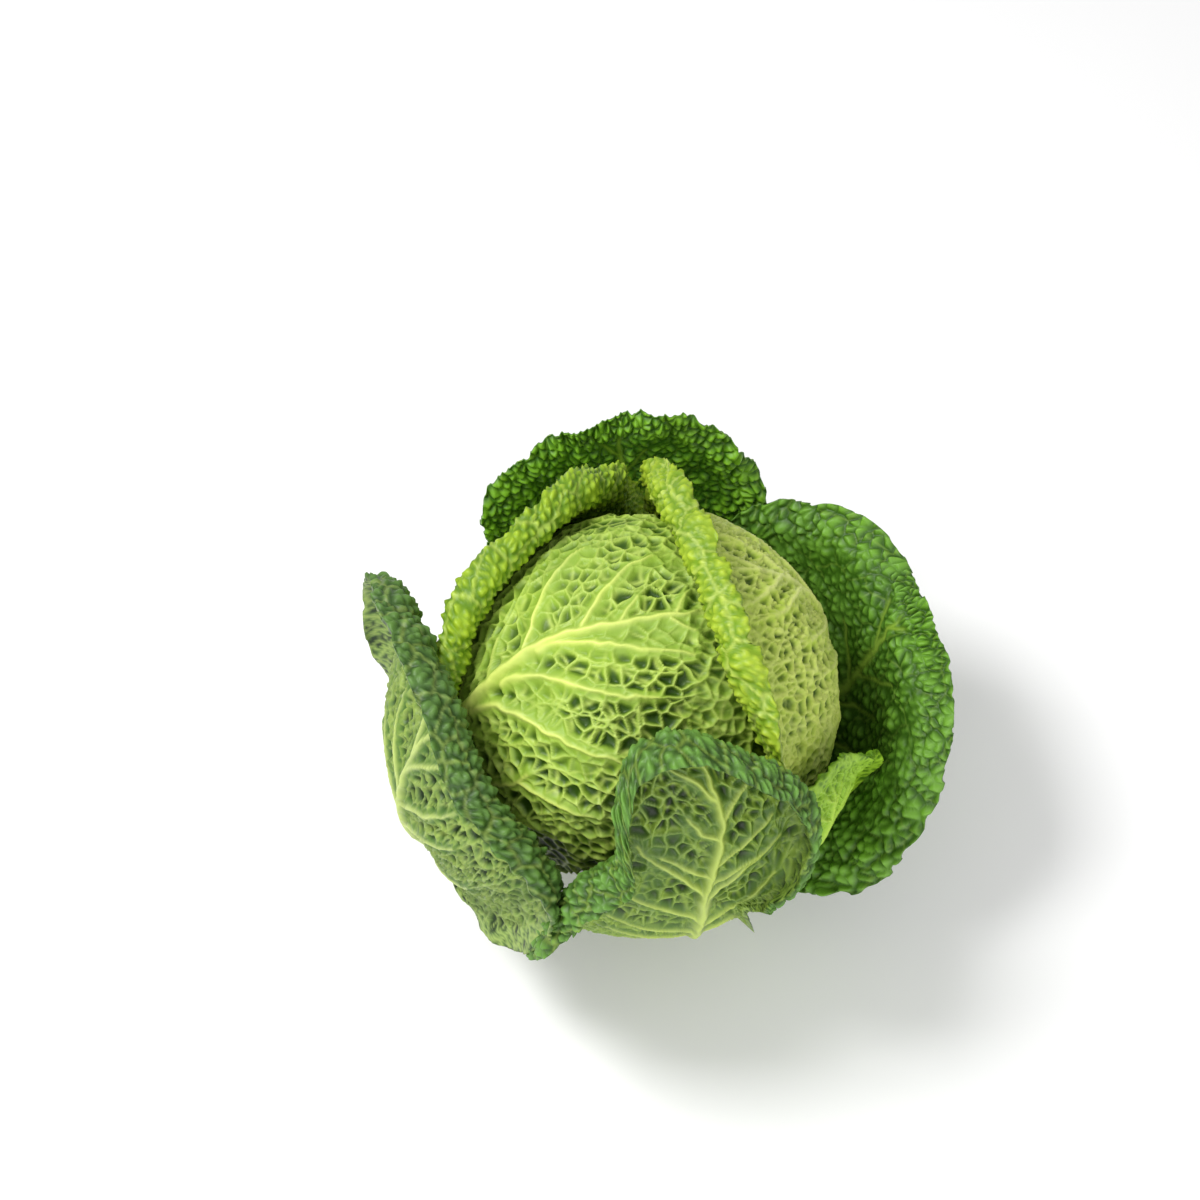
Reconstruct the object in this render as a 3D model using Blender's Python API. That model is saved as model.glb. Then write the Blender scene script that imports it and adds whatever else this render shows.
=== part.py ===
"""A savoy cabbage, standing upright on the cut face of its stem.

Metres, +Z up. The origin is the centre of the cut stem face, and +Z runs up
the stem. -Y is the front. A round closed head sits on the stem, a pale leaf
lies over the head, two wrapper leaves with rolled rims hold it, and five
coarser outer leaves stand around them. Each leaf is one thin closed solid.
"""

import bpy
import bmesh
import numpy as np
from math import atan2, cos, hypot, pi, radians, sin

# ---------------------------------------------------------------- dimensions

HEAD_RADIUS = 0.0728          # closed head, measured across its tight leaves
HEAD_CENTRE_HEIGHT = 0.104    # centre of the head above the cut stem face
HEAD_SEGMENTS = 32
HEAD_RINGS = 16

STEM_CUT_RADIUS = 0.0175      # the flat face that the cabbage rests on
STEM_NECK_RADIUS = 0.0155
STEM_HEIGHT = 0.0295
STEM_SIDES = 24

LEAF_THICKNESS = 0.0014
LEAF_SECTORS = 30             # rays around a leaf's middle
LEAF_RINGS = (0.24, 0.46, 0.64, 0.77, 0.88, 1.0)
LEAF_STEPS = 240              # steps that trace each ray

PETIOLE_RADIUS = 0.0185       # how far from the stem's axis each leaf starts

# Each leaf, from the inside out. Angles are in degrees, lengths in metres.
#   azimuth, latitude  where the leaf's middle lies around and up the head
#   reach              distance of that middle from the head's centre
#   lean, twist        tip tilted away from the head, tip turned sideways
#   foot               height at which the leaf leaves the stem
#   edge               length from the middle to the edge, every 30 degrees from
#                      right through tip, left and base, as seen from outside;
#                      the tenth is the stalk's, which is worked out
#   tip, right, left   for a simple leaf instead: those three lengths, and
#   shoulder, hip      the fullness of the corners between them (right, left)
#   bend               how closely right, tip and left follow the head
#   curl               outward roll of the rim, at even steps around the leaf
#                      from right through tip, left and base
#   curl_width         width of the rolled rim
#   wave               height, number and phase of slow waves along the rim
LEAVES = {
    "head_leaf": dict(
        azimuth=198, latitude=50, reach=0.0772, foot=0.0262,
        tip=0.105, right=0.105, left=0.090),
    "wrapper_right": dict(
        azimuth=20, latitude=-8, reach=0.0812, foot=0.0232,
        edge=(0.090, 0.112, 0.134, 0.137, 0.136, 0.117,
              0.106, 0.097, 0.092, 0, 0.083, 0.079),
        bend=(1.0, 0.98, 1.0), curl_width=0.026,
        curl=(0, 60, 190, 190, 190, 80, 0, 0, 0, 0, 0, 0)),
    "wrapper_left": dict(
        azimuth=130, latitude=-20, reach=0.0842, foot=0.0202,
        edge=(0.112, 0.124, 0.122, 0.116, 0.102, 0.080,
              0.076, 0.075, 0.075, 0, 0.082, 0.095),
        bend=(1.08, 1.04, 0.9), curl_width=0.022,
        curl=(60, 190, 190, 150, 60, 0, 0, 0)),
    "outer_front_right": dict(
        azimuth=-36, latitude=-14, reach=0.0920, foot=0.0202,
        tip=0.056, right=0.046, left=0.050, bend=(0.7, 0.9, 1.0),
        shoulder=(0.85, 0.9), hip=(0.80, 0.85),
        curl=(60, 30, 0, 0, 0, 0, 0, 40), curl_width=0.018),
    "outer_front": dict(
        azimuth=-74, latitude=5, reach=0.0970, foot=0.0172, twist=-14,
        edge=(0.042, 0.072, 0.089, 0.103, 0.070, 0.074,
              0.080, 0.084, 0.092, 0, 0.034, 0.024),
        bend=(1.0, 0.92, 1.0), curl_width=0.030,
        curl=(190, 190, 190, 190, 160, 0, 30, 60)),
    "outer_right": dict(
        azimuth=18, latitude=-12, reach=0.1040, foot=0.0142,
        edge=(0.089, 0.069, 0.049, 0.042, 0.047, 0.060,
              0.077, 0.100, 0.104, 0, 0.094, 0.087),
        lean=8, bend=(1.1, 0.0, 0.5),
        curl=(0, 50, 60, 60, 60, 30, 0, 0),
        curl_width=0.030, wave=(0.002, 7, 0)),
    "outer_back": dict(
        azimuth=94, latitude=-2, reach=0.1110, foot=0.0085,
        edge=(0.063, 0.051, 0.043, 0.043, 0.053, 0.057,
              0.064, 0.071, 0.096, 0, 0.095, 0.069),
        lean=3, bend=(0.95, 0.2, 0.7),
        curl=(20, 20, 20, 20, 20, 0, 0, 0), curl_width=0.020,
        wave=(0.002, 9, 0)),
    "outer_left": dict(
        azimuth=-158, latitude=-20, reach=0.1070, foot=0.0060,
        edge=(0.078, 0.121, 0.119, 0.121, 0.119, 0.114,
              0.088, 0.075, 0.080, 0, 0.052, 0.030),
        bend=(1.3, 1.3, 1.1), curl_width=0.032,
        curl=(60, 170, 160, 150, 100, 0, 0, 0)),
}

# colour, roughness
MATERIALS = {
    "stem": ((0.62, 0.66, 0.42), 0.55),
    "head_leaf": ((0.48, 0.60, 0.20), 0.45),
    "wrapper_leaf": ((0.40, 0.52, 0.12), 0.48),
    "outer_leaf": ((0.06, 0.20, 0.05), 0.50),
}

SLOT_OF_LEAF = {
    "head_leaf": "head_leaf",
    "wrapper_right": "wrapper_leaf",
    "wrapper_left": "wrapper_leaf",
}


# ------------------------------------------------------------------ the leaf

def ring_value(values, angle):
    """A smooth closed curve through values at even steps around."""
    v = np.asarray(values, float)
    place = (angle / (2 * pi) * len(v)) % len(v)
    i = np.floor(place).astype(int)
    f = place - i
    a, b, c, d = (v[(i + k) % len(v)] for k in (-1, 0, 1, 2))
    return 0.5 * (2 * b + (c - a) * f + (2 * a - 5 * b + 4 * c - d) * f**2
                  + (3 * b - a - 3 * c + d) * f**3)


def leaf_axes(leaf):
    """Middle of the leaf and its right, tip and outward directions."""
    a, b = radians(leaf["azimuth"]), radians(leaf["latitude"])
    out = np.array([cos(b) * cos(a), cos(b) * sin(a), sin(b)])
    tip = np.array([-sin(b) * cos(a), -sin(b) * sin(a), cos(b)])
    middle = out * leaf["reach"] + (0, 0, HEAD_CENTRE_HEIGHT)
    e = radians(leaf.get("lean", 0))
    out, tip = out * cos(e) - tip * sin(e), tip * cos(e) + out * sin(e)
    right = np.cross(tip, out)
    w = radians(leaf.get("twist", 0))
    tip, right = tip * cos(w) + right * sin(w), right * cos(w) - tip * sin(w)
    return middle, right, tip, out


def stalk_ray(leaf, middle, right, tip, out):
    """Direction, curvature and length of the arc that runs to the stem."""
    a = radians(leaf["azimuth"])
    foot = np.array([PETIOLE_RADIUS * cos(a), PETIOLE_RADIUS * sin(a),
                     leaf["foot"]]) - middle
    x, y, drop = foot @ right, foot @ tip, -(foot @ out)
    flat = hypot(x, y)
    curvature = 2 * drop / (flat**2 + drop**2)
    length = 2 * atan2(drop, flat) / curvature
    return atan2(y, x), curvature, length


def corner(a, b):
    """Length of the ray half way between two others, as on an ellipse."""
    return 1 / np.sqrt(0.5 / a**2 + 0.5 / b**2)


def outline(leaf, stalk):
    """Ray lengths at even steps around, from right through tip, left and base.

    They are either given as edge, twelve lengths of which the tenth is the
    stalk's, or worked out from tip, right, left, shoulder and hip."""
    if "edge" in leaf:
        return leaf["edge"][:9] + (stalk,) + leaf["edge"][10:]
    tip, right, left = leaf["tip"], leaf["right"], leaf["left"]
    shoulder = leaf.get("shoulder", (1.0, 1.0))
    hip = leaf.get("hip", (0.85, 0.85))
    return (right, corner(right, tip) * shoulder[0],
            tip, corner(left, tip) * shoulder[1],
            left, corner(left, stalk) * hip[1],
            stalk, corner(right, stalk) * hip[0])


def leaf_surface(leaf, angles, parts):
    """Points and outward normals on the leaf's middle surface.

    Each ray leaves the middle of the leaf in its own plane. Its slope grows
    with the distance walked, so it wraps the head, and over the last stretch
    it falls again, which rolls the rim outward. parts are shares of a ray.
    """
    middle, right, tip, out = leaf_axes(leaf)
    to_stalk, stalk_bend, stalk = stalk_ray(leaf, middle, right, tip, out)
    turn = (to_stalk + 1.5 * pi) % (2 * pi) - pi
    even = angles - turn * (1 - np.sin(angles)) / 2
    length = ring_value(outline(leaf, stalk), even)[:, None]
    bend = leaf.get("bend", (1.0, 1.0, 1.0))
    side = (1 + np.cos(even)) / 2
    across = (bend[0] * side + bend[2] * (1 - side)) / leaf["reach"]
    along = np.where(np.sin(even) > 0, bend[1] / leaf["reach"], stalk_bend)
    wrap = (across * np.cos(even)**2 + along * np.sin(even)**2)[:, None]
    walked = np.linspace(0, 1, LEAF_STEPS + 1) * length
    width = np.minimum(leaf.get("curl_width", 0.02), 0.6 * length)
    u = np.clip((walked - length + width) / width, 0, 1)
    curl = np.radians(ring_value(leaf.get("curl", (0,) * 8), even))[:, None]
    slope = wrap * walked - curl * (0.65 * u + 0.35 * u**2 * (3 - 2 * u))
    step = length / LEAF_STEPS
    mean = (slope[:, 1:] + slope[:, :-1]) / 2
    start = np.zeros((len(angles), 1))
    flat = np.hstack([start, np.cumsum(np.cos(mean) * step, axis=1)])
    sink = np.hstack([start, np.cumsum(np.sin(mean) * step, axis=1)])
    pick = np.rint(np.asarray(parts) * LEAF_STEPS).astype(int)
    flat, sink, slope = (m[:, pick, None] for m in (flat, sink, slope))
    ray = (np.outer(np.cos(angles), right)
           + np.outer(np.sin(angles), tip))[:, None]
    normal = out * np.cos(slope) + ray * np.sin(slope)
    height, count, phase = leaf.get("wave", (0.0, 0, 0))
    swell = height * np.clip(1 + np.sin(even), 0, 1)
    swell = swell * np.sin(count * angles + phase)
    rise = np.outer(swell, np.asarray(parts)**3)[..., None]
    return middle + ray * flat - out * sink + normal * rise, normal


def leaf_mesh(leaf):
    """Vertices and faces of the closed thin solid of one leaf."""
    angles = np.arange(LEAF_SECTORS) * 2 * pi / LEAF_SECTORS
    points, normals = leaf_surface(leaf, angles, (0.0,) + LEAF_RINGS)
    sides = []
    for way in (0.5, -0.5):
        side = points + normals * way * LEAF_THICKNESS
        sides.append(np.vstack([side[:1, 0], side[:, 1:].reshape(-1, 3)]))
    rings, n = len(LEAF_RINGS), LEAF_SECTORS
    back = len(sides[0])
    spot = 1 + np.arange(n)[:, None] * rings + np.arange(rings)
    after = np.roll(spot, -1, axis=0)
    a, b, c, d = (m[..., None] for m in (
        spot[:, :-1], spot[:, 1:], after[:, 1:], after[:, :-1]))
    skin = np.concatenate([
        np.dstack([a, b, c]).reshape(-1, 3),
        np.dstack([a, c, d]).reshape(-1, 3),
        np.stack([np.zeros(n, int), spot[:, 0], after[:, 0]], axis=-1)])
    rim = np.stack([spot[:, -1], spot[:, -1] + back, after[:, -1] + back,
                    after[:, -1]], axis=-1)
    faces = skin.tolist() + (skin[:, ::-1] + back).tolist() + rim.tolist()
    return np.vstack(sides), faces


# ------------------------------------------------------------------- objects

def make_material(name):
    colour, roughness = MATERIALS[name]
    material = bpy.data.materials.new(name)
    material.use_nodes = True
    shader = material.node_tree.nodes["Principled BSDF"]
    shader.inputs["Base Color"].default_value = (*colour, 1.0)
    shader.inputs["Roughness"].default_value = roughness
    shader.inputs["Metallic"].default_value = 0.0
    return material


def add_object(name, mesh, material):
    mesh.materials.append(material)
    mesh.shade_smooth()
    mesh.set_sharp_from_angle(angle=radians(50))
    body = bpy.data.objects.new(name, mesh)
    bpy.context.scene.collection.objects.link(body)
    return body


def add_leaf(name, leaf, material):
    points, faces = leaf_mesh(leaf)
    mesh = bpy.data.meshes.new(name)
    mesh.from_pydata(points.tolist(), [], faces)
    return add_object(name, mesh, material)


def add_head(material):
    """The closed head: a ball that sits on top of the stem."""
    form = bmesh.new()
    bmesh.ops.create_uvsphere(form, u_segments=HEAD_SEGMENTS,
                              v_segments=HEAD_RINGS, radius=HEAD_RADIUS)
    mesh = bpy.data.meshes.new("head")
    form.to_mesh(mesh)
    form.free()
    body = add_object("head", mesh, material)
    body.location = (0, 0, HEAD_CENTRE_HEIGHT)
    return body


def add_stem(material):
    """The stem: a short stump, cut flat below, narrower at its neck."""
    form = bmesh.new()
    bmesh.ops.create_cone(
        form, cap_ends=True, segments=STEM_SIDES, radius1=STEM_CUT_RADIUS,
        radius2=STEM_NECK_RADIUS, depth=STEM_HEIGHT)
    bmesh.ops.translate(form, verts=form.verts, vec=(0, 0, STEM_HEIGHT / 2))
    mesh = bpy.data.meshes.new("stem")
    form.to_mesh(mesh)
    form.free()
    return add_object("stem", mesh, material)


def main():
    for old in list(bpy.data.objects):
        bpy.data.objects.remove(old, do_unlink=True)
    materials = {name: make_material(name) for name in MATERIALS}
    add_stem(materials["stem"])
    add_head(materials["head_leaf"])
    for name, leaf in LEAVES.items():
        slot = SLOT_OF_LEAF.get(name, "outer_leaf")
        add_leaf(name, leaf, materials[slot])


main()
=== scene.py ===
"""A savoy cabbage for a studio scene, laid out as a Blender add-on.

Metres, +Z up, origin at the centre of the cut stem face, -Y to the front.
Every leaf is one closed sheet with two sides. Its middle surface is drawn by
rays that leave the middle of the leaf, wrap the head and roll outward at the
rim. A rib pattern laid out on the flattened leaf then raises the ribs on the
outer side and pushes the blade between them towards the inner side, which
makes pits outside and blisters inside.
"""

from math import atan2, cos, hypot, pi, radians, sin

import bpy
import numpy as np
from bpy.props import FloatProperty, FloatVectorProperty, PointerProperty
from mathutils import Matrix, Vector
from mathutils.geometry import delaunay_2d_cdt


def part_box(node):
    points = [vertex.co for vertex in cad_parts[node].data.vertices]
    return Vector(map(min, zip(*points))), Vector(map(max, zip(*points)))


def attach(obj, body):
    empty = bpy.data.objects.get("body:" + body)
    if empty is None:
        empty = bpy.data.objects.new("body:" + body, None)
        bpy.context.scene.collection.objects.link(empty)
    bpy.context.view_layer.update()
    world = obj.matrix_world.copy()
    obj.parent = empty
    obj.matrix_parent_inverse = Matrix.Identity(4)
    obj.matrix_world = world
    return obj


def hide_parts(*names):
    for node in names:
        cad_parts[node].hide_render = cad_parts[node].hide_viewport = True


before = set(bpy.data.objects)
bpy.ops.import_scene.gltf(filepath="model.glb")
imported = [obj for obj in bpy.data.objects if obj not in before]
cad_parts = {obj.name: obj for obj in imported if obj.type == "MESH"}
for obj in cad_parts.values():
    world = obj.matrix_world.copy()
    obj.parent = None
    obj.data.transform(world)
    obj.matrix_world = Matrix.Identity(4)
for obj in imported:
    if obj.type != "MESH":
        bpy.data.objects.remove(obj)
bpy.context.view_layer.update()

bl_info = {
    "name": "Savoy Cabbage",
    "version": (1, 0, 0),
    "blender": (4, 5, 0),
    "location": "3D View > Sidebar > Cabbage",
    "description": "Builds a savoy cabbage with ribbed, blistered leaves",
    "category": "Add Mesh",
}

HEAD_LOW, HEAD_HIGH = (np.array(c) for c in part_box("head"))
HEAD_CENTRE = (HEAD_LOW + HEAD_HIGH) / 2
HEAD_RADIUS = (HEAD_HIGH[2] - HEAD_LOW[2]) / 2
STEM_LOW, STEM_HIGH = (np.array(c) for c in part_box("stem"))
STEM_RADIUS = (STEM_HIGH[0] - STEM_LOW[0]) / 2
STEM_TOP = STEM_HIGH[2]
MM = 0.001


# --------------------------------------------------------- where leaves stand

# Angles in degrees, lengths in metres; see the shape's rules in LeafForm.
#   azimuth, latitude  where the leaf's middle lies around and up the head
#   reach              distance of that middle from the head's centre
#   lean, twist        tip tilted away from the head, tip turned sideways
#   foot               height at which the leaf leaves the stem
#   tip, right, left   length from the middle to those edges, along the leaf
#   shoulder, hip      fullness of the upper and lower corners (right, left)
#   bend               how closely right, tip and left follow the head
#   curl, curl_width   outward roll of the rim, from right through tip, left
#                      and base at even steps, and the width of the roll
#   wave               height, number and phase of slow waves along the rim
LEAF_FORMS = {
    "head_leaf": dict(
        azimuth=198, latitude=50, reach=0.0772, foot=0.0262,
        tip=0.105, right=0.105, left=0.090),
    "wrapper_right": dict(
        azimuth=20, latitude=-8, reach=0.0812, foot=0.0232,
        edge=(0.090, 0.112, 0.134, 0.137, 0.136, 0.117,
              0.106, 0.097, 0.092, 0, 0.083, 0.079),
        bend=(1.0, 0.98, 1.0), curl_width=0.026,
        curl=(0, 60, 190, 190, 190, 80, 0, 0, 0, 0, 0, 0)),
    "wrapper_left": dict(
        azimuth=130, latitude=-20, reach=0.0842, foot=0.0202,
        edge=(0.112, 0.124, 0.122, 0.116, 0.102, 0.080,
              0.076, 0.075, 0.075, 0, 0.082, 0.095),
        bend=(1.08, 1.04, 0.9), curl_width=0.022,
        curl=(60, 190, 190, 150, 60, 0, 0, 0)),
    "outer_front_right": dict(
        azimuth=-36, latitude=-14, reach=0.0920, foot=0.0202,
        tip=0.056, right=0.046, left=0.050, bend=(0.7, 0.9, 1.0),
        shoulder=(0.85, 0.9), hip=(0.80, 0.85),
        curl=(60, 30, 0, 0, 0, 0, 0, 40), curl_width=0.018),
    "outer_front": dict(
        azimuth=-74, latitude=5, reach=0.0970, foot=0.0172, twist=-14,
        edge=(0.042, 0.072, 0.089, 0.103, 0.070, 0.074,
              0.080, 0.084, 0.092, 0, 0.034, 0.024),
        bend=(1.0, 0.92, 1.0), curl_width=0.030,
        curl=(190, 190, 190, 190, 160, 0, 30, 60)),
    "outer_right": dict(
        azimuth=18, latitude=-12, reach=0.1040, foot=0.0142,
        edge=(0.089, 0.069, 0.049, 0.042, 0.047, 0.060,
              0.077, 0.100, 0.104, 0, 0.094, 0.087),
        lean=8, bend=(1.1, 0.0, 0.5),
        curl=(0, 50, 60, 60, 60, 30, 0, 0),
        curl_width=0.030, wave=(0.002, 7, 0)),
    "outer_back": dict(
        azimuth=94, latitude=-2, reach=0.1110, foot=0.0085,
        edge=(0.063, 0.051, 0.043, 0.043, 0.053, 0.057,
              0.064, 0.071, 0.096, 0, 0.095, 0.069),
        lean=3, bend=(0.95, 0.2, 0.7),
        curl=(20, 20, 20, 20, 20, 0, 0, 0), curl_width=0.020,
        wave=(0.002, 9, 0)),
    "outer_left": dict(
        azimuth=-158, latitude=-20, reach=0.1070, foot=0.0060,
        edge=(0.078, 0.121, 0.119, 0.121, 0.119, 0.114,
              0.088, 0.075, 0.080, 0, 0.052, 0.030),
        bend=(1.3, 1.3, 1.1), curl_width=0.032,
        curl=(60, 170, 160, 150, 100, 0, 0, 0)),
}
PETIOLE_RADIUS = 0.0185   # distance of a leaf's foot from the stem's axis

# The rib pattern of each leaf, in millimetres on the flattened leaf, where +Y
# points to the tip and +X to the right as seen from outside.
#   midrib       points of the midrib from the foot to the tip
#   stalk        half width of the midrib at the foot and at mid leaf
#   veins        side ribs of known course: half width where they start, points
#   known        heights between which veins has all the side ribs
#   gap          distance between the other side ribs along the midrib
#   rib          half width of a side rib where it starts
#   thread       half width of the thin ribs between the cells
#   big          size of the large cells
#   cell         size of the small cells, and edge_cell that along the rim
#   pit          depth of the small cells, mid leaf and at the rim
#   bowl         depth of the large cells
#   near         share of the depth that is left right beside a side rib
#   calm         share of the depth that is missing left of the midrib
#   patch        how much the depth differs from one part of the leaf to another
#   slope        how soon the blade falls away from a rib, as a share of a cell
#   swell        how far the blade lies below the side ribs
#   lump         size and height of the soft lumps in a cell
#   ridge        height of a rib as a share of its half width
#   ruffle       length and height of the waves along the rim
#   lobe         how deeply the rim is lobed, 1 for about 3 mm
WRAPPER = dict(
    stalk=(4.5, 2.0), gap=24, rib=1.4, thread=0.60, big=12, cell=6.2, edge_cell=3.2,
    pit=(3.0, 2.0), bowl=0.8, near=0.35, patch=0.45, slope=0.22, swell=0.8,
    lump=(1.8, 0.7), ridge=1.1, ruffle=(9, 2.4), lobe=1.2)
ROLLED = dict(
    thread=0.58, big=11, cell=5.8, edge_cell=3.8, pit=(2.8, 2.1), bowl=1.1,
    near=0.20, patch=0.45, slope=0.22, swell=0.9, lump=(2.4, 0.9), ridge=1.1,
    ruffle=(11, 2.8), lobe=1.4)
OPEN = dict(
    stalk=(4.5, 2.0), rib=1.2, thread=0.30, pit=(2.0, 2.4), bowl=1.1, near=0.75,
    patch=0.35, slope=0.36, swell=1.0, lump=(2.2, 1.0), ridge=0.9,
    ruffle=(12, 3.0), lobe=1.8)
RIB_STYLES = {
    "head_leaf": dict(
        midrib=((0, -140), (-6, -90), (-8, -60), (0, -27), (0, 5), (3, 27),
                (9, 50), (13, 83), (16, 104)),
        veins=(
            (1.2, (2, 9), (3, 16), (10, 29), (22, 48), (30, 64), (36, 80), (38, 95)),
            (1.3, (4, -12), (8, 2), (14, 8), (27, 21), (37, 33), (45, 50), (50, 70)),
            (0.7, (48, 57), (55, 57), (61, 60), (72, 62)),
            (1.3, (1, -36), (6, -25), (10, -18), (17, -13), (31, -4), (46, 5),
             (56, 15), (68, 20), (84, 30)),
            (0.7, (56, 14), (51, 19), (45, 22), (39, 17)),
            (0.9, (-5, -60), (2, -50), (6, -43), (14, -37), (22, -30), (31, -15)),
            (1.2, (-8, -84), (6, -81), (15, -70), (23, -60), (33, -43), (39, -31),
             (39, -22), (45, -8), (57, -5), (66, 2)),
            (1.0, (39, -31), (47, -27), (64, -18), (76, -8), (92, 6)),
            (1.0, (14, -72), (22, -62), (38, -53), (58, -46), (77, -36), (92, -26)),
            (0.8, (-4, -92), (22, -81), (42, -77), (62, -72), (84, -60)),
            (1.1, (-2, 3), (-10, 10), (-23, 18), (-36, 31), (-41, 48), (-43, 68)),
            (1.1, (1, 29), (-9, 41), (-20, 54), (-24, 72), (-24, 90)),
            (0.6, (-11, 44), (-7, 49), (-5, 56)),
            (0.8, (-1, -20), (-12, -11), (-21, 1), (-33, 10), (-50, 18)),
            (0.8, (6, 43), (1, 48), (-8, 61), (-9, 80)),
            (0.8, (10, 65), (3, 69), (-4, 81), (-8, 96)),
            (0.6, (1, 15), (-6, 20), (-18, 33), (-26, 46)),
            (0.8, (12, 62), (17, 66), (31, 78), (40, 90)),
            (0.6, (6, 18), (19, 29), (30, 43), (36, 56)),
            (0.6, (20, 15), (26, 6), (31, -4)),
            (0.6, (31, 26), (38, 18), (46, 6)),
            (0.6, (39, 36), (47, 32), (56, 26)),
            (0.6, (20, -10), (20, 1), (31, 10), (43, 21), (50, 25)),
            (0.9, (-4, -44), (-18, -32), (-40, -22), (-60, -12)),
            (0.9, (-7, -70), (-24, -60), (-46, -52), (-66, -38)),
            (0.9, (-6, -95), (-24, -88), (-48, -80), (-66, -66))),
        known=(-110, 72), stalk=(4.5, 2.2), gap=22, rib=1.2,
        thread=0.55, big=15, cell=7.0, edge_cell=6.0, pit=(3.0, 1.5), bowl=0.9,
        near=0.06, calm=0.45, patch=0.75, slope=0.17, swell=0.9, lump=(2.2, 0.5),
        ridge=1.15, ruffle=(18, 0.6), lobe=0.5),
    "wrapper_right": dict(midrib=((0, -140), (0, 0), (5, 60), (8, 136)), **WRAPPER),
    "wrapper_left": dict(midrib=((0, -140), (0, 0), (-5, 60), (-8, 118)), **WRAPPER),
    "outer_front_right": dict(
        midrib=((0, -140), (0, 0), (6, 56)), stalk=(4.0, 1.8), gap=18, rib=1.2,
        thread=0.45, big=9, cell=4.6, edge_cell=4.0, pit=(1.6, 1.5), bowl=0.8,
        near=0.4, patch=0.45, slope=0.26, swell=0.7, lump=(2.2, 0.7), ridge=1.0,
        ruffle=(9, 2.4), lobe=1.2),
    "outer_front": dict(
        midrib=((-33, -132), (-20, -70), (-9, -20), (-1, 6), (8, 20), (14, 31),
                (17, 38), (19, 60), (15, 102)),
        veins=(
            (1.3, (16, 37), (22, 42), (32, 47), (44, 58)),
            (1.1, (3, 13), (-4, 23), (-10, 32), (-22, 44)),
            (1.1, (13, 30), (7, 37), (4, 43), (3, 58)),
            (1.1, (7, 18), (16, 20), (24, 22), (38, 27), (52, 34)),
            (1.1, (-1, 7), (10, 10), (26, 11), (44, 16)),
            (1.1, (17, 48), (14, 58), (4, 70), (-6, 84))),
        known=(4, 62), stalk=(4.5, 2.3), gap=19, rib=1.4, **ROLLED),
    "outer_right": dict(midrib=((0, -140), (0, 42)), gap=26, big=13, cell=4.6,
                        edge_cell=4.4, **OPEN),
    "outer_back": dict(midrib=((0, -140), (0, 43)), gap=24, big=12, cell=4.4,
                       edge_cell=4.2, **OPEN),
    "outer_left": dict(midrib=((0, -130), (6, -60), (4, 0), (4, 60), (4, 120)),
                       stalk=(5.0, 2.4), gap=24, rib=1.5, **ROLLED),
}

DEEPEST = 3.5   # mm that the outer side may sink, so that it clears the head
HIGHEST = 4.6   # mm that a blister may rise on the inner side
SECTORS = 768   # points around the rim of a leaf

SLOT_OF_LEAF = {
    "head_leaf": "head_leaf",
    "wrapper_right": "wrapper_leaf",
    "wrapper_left": "wrapper_leaf",
}


# -------------------------------------------------------------- small numbers

def ring_value(values, angle):
    """A smooth closed curve through values at even steps around."""
    v = np.asarray(values, float)
    place = (angle / (2 * pi) * len(v)) % len(v)
    i = np.floor(place).astype(int)
    f = place - i
    a, b, c, d = (v[(i + k) % len(v)] for k in (-1, 0, 1, 2))
    return 0.5 * (2 * b + (c - a) * f + (2 * a - 5 * b + 4 * c - d) * f**2
                  + (3 * b - a - 3 * c + d) * f**3)


def lattice_noise(x, y, size, seed):
    """Smooth noise from -1 to 1: random heights at the corners of a square
    lattice, blended between the corners by an S-curve."""
    i, j = np.floor(x / size).astype(np.int64), np.floor(y / size).astype(np.int64)
    u, v = x / size - i, y / size - j
    u, v = u * u * (3 - 2 * u), v * v * (3 - 2 * v)

    def height(a, b):
        h = (a * 374761393 + b * 668265263 + seed * 974634777) & 0xffffffff
        h = ((h ^ (h >> 13)) * 1274126177) & 0xffffffff
        return ((h ^ (h >> 16)) & 0xffff) / 32767.5 - 1
    low = height(i, j) * (1 - u) + height(i + 1, j) * u
    high = height(i, j + 1) * (1 - u) + height(i + 1, j + 1) * u
    return low * (1 - v) + high * v


def smooth_step(low, high, x):
    """S-curve that is 0 below low and 1 above high."""
    u = np.clip((x - low) / (high - low), 0, 1)
    return u * u * (3 - 2 * u)


# --------------------------------------------------------------- leaf surface

def corner(a, b):
    """Length of the ray half way between two others, as on an ellipse."""
    return 1 / np.sqrt(0.5 / a**2 + 0.5 / b**2)


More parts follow.
